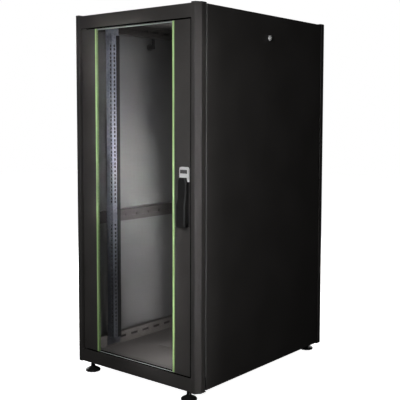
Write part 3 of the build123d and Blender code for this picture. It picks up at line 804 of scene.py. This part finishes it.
def make_camera():
    """The camera of the main view; yaw counts clockwise from +Y, seen from above."""
    yaw, pitch, roll = (math.radians(a) for a in (CAMERA_YAW, CAMERA_PITCH, CAMERA_ROLL))
    level_share = math.cos(pitch)
    ahead = Vector((math.sin(yaw) * level_share, math.cos(yaw) * level_share, math.sin(pitch)))
    level = Vector((math.cos(yaw), -math.sin(yaw), 0.0))
    above = level.cross(ahead)
    right = level * math.cos(roll) + above * math.sin(roll)
    up = above * math.cos(roll) - level * math.sin(roll)
    data = bpy.data.cameras.new("camera")
    data.sensor_width = 36.0
    data.lens = CAMERA_LENS
    data.shift_x, data.shift_y = CAMERA_SHIFT
    data.clip_start = 0.05
    camera = bpy.data.objects.new("camera", data)
    bpy.context.scene.collection.objects.link(camera)
    turn = Matrix((right, up, -ahead)).transposed().to_4x4()
    camera.matrix_world = Matrix.Translation(Vector(CAMERA_PLACE)) @ turn
    bpy.context.scene.camera = camera


def area_light(name, place, aim, size, power, spread=180.0, roll=0.0):
    """A rectangle of light in metres and watts; a small spread in degrees makes it a beam."""
    data = bpy.data.lights.new(name, "AREA")
    data.shape = "RECTANGLE"
    data.size, data.size_y = size
    data.energy = power
    data.spread = math.radians(spread)
    light = bpy.data.objects.new(name, data)
    bpy.context.scene.collection.objects.link(light)
    facing = (Vector(aim) - Vector(place)).to_track_quat("-Z", "Y").to_matrix().to_4x4()
    turn = facing @ Matrix.Rotation(math.radians(roll), 4, "Z")
    light.matrix_world = Matrix.Translation(Vector(place)) @ turn
    light.visible_camera = False


def light_front_and_side():
    """Soft lights on the door and the right side, and thin ones that glint on post and handle."""
    area_light("key", (0.85, -1.75, 1.3), (0.1, -0.4, 0.95), (0.4, 0.7), 14.5)
    area_light("top_fill", (0.1, -2.3, 2.0), (0.1, 0, 0.9), (0.6, 0.6), 2.5)
    area_light("side_near", (0.85, -0.85, 0.75), (0.3, -0.2, 0.7), (0.1, 0.5), 1.35)
    area_light("post_glint", (2.2, -1.3, 0.65), (0.295, -0.38, 0.62), (0.04, 1.3), 0.1, 6)
    area_light("glint", (-1.06, -1.9, 0.65), (0.24, -0.39, 0.77), (0.1, 0.6), 1.0)


def light_through_glass():
    """Narrow weak beams that make the lit patch on the far panel's inner face."""
    area_light("band_long", (1.62, -1.89, 0.72), (0.015, -0.39, 0.68), (0.05, 1.1), 1.2, 5, 5)
    area_light("band_wide", (1.62, -1.89, 0.70), (0.03, -0.39, 0.66), (0.1, 1.0), 0.35, 10, 4)
    area_light("band_core", (1.64, -1.89, 0.74), (0.02, -0.39, 0.70), (0.05, 0.4), 1.0, 6, 7)
    area_light("band_left", (1.50, -1.98, 0.92), (-0.13, -0.39, 0.86), (0.05, 0.6), 0.13, 5)
    area_light("band_top", (1.60, -1.90, 1.22), (-0.09, -0.39, 1.2), (0.12, 0.12), 0.15, 8)


def light_inside():
    """Small lights in the cabinet, on the left panel, under the roof and on the floor."""
    area_light("inside_side", (0.21, -0.33, 0.55), (-0.29, 0.2, 0.45), (0.04, 0.7), 1.2, 110)
    area_light("inside_up", (0.1, -0.15, 0.95), (0, -0.1, 1.3), (0.2, 0.3), 1.3, 60)
    area_light("inside_floor", (0.10, -0.24, 0.5), (0.10, -0.24, 0), (0.2, 0.2), 2.3, 110)


def light_back_and_roof():
    """Large soft lights for the sides that the main view doesn't show."""
    area_light("back_soft", (-0.9, 2.6, 1.6), (0, 0.3, 0.7), (1.6, 1.6), 45)
    area_light("left_soft", (-2.6, 0.6, 1.5), (-0.3, 0, 0.7), (1.6, 1.6), 45)
    area_light("roof_soft", (-0.6, 0.4, 2.8), (-0.2, 0.1, 1.3), (1.2, 1.2), 25)


def make_world(strength):
    """White behind the cabinet, and a dimmer even light around it."""
    world = bpy.data.worlds.new("studio")
    bpy.context.scene.world = world
    world.use_nodes = True
    tree = world.node_tree
    seen = tree.nodes["Background"]
    around = tree.nodes.new("ShaderNodeBackground")
    for background, power in ((seen, 1.0), (around, strength)):
        background.inputs["Color"].default_value = (1, 1, 1, 1)
        background.inputs["Strength"].default_value = power
    path = tree.nodes.new("ShaderNodeLightPath")
    choose = tree.nodes.new("ShaderNodeMixShader")
    tree.links.new(path.outputs["Is Camera Ray"], choose.inputs[0])
    tree.links.new(around.outputs["Background"], choose.inputs[1])
    tree.links.new(seen.outputs["Background"], choose.inputs[2])
    tree.links.new(choose.outputs["Shader"], tree.nodes["World Output"].inputs["Surface"])


def make_floor():
    """A white floor that casts no light back, just under the feet."""
    mesh = bmesh.new()
    bmesh.ops.create_grid(mesh, x_segments=8, y_segments=8, size=9.0)
    data = bpy.data.meshes.new("stage_floor")
    mesh.to_mesh(data)
    mesh.free()
    shader = Shader("stage_white")
    shader.set(Base_Color=(0.9, 0.9, 0.9, 1), Roughness=0.9,
               Emission_Color=(1, 1, 1, 1), Emission_Strength=1.0)
    data.materials.append(shader.material)
    floor = bpy.data.objects.new("stage_floor", data)
    floor.location.z = -0.5 * MM
    bpy.context.scene.collection.objects.link(floor)
    floor.visible_diffuse = False
    floor.visible_glossy = False
    floor.visible_shadow = False


FINISHES = make_finishes()
paint_nodes(FINISHES)
for end in ("front", "rear"):
    add_lever(end)
    add_inlay(end)
    for kind in SEALS:
        add_seal(kind, end)
for side, way in (("left", -1), ("right", 1)):
    add_lock_face(side, way)
add_brush()
make_camera()
make_world(0.008)
make_floor()
light_front_and_side()
light_through_glass()
light_inside()
light_back_and_roof()
bpy.context.scene.view_settings.view_transform = "Standard"
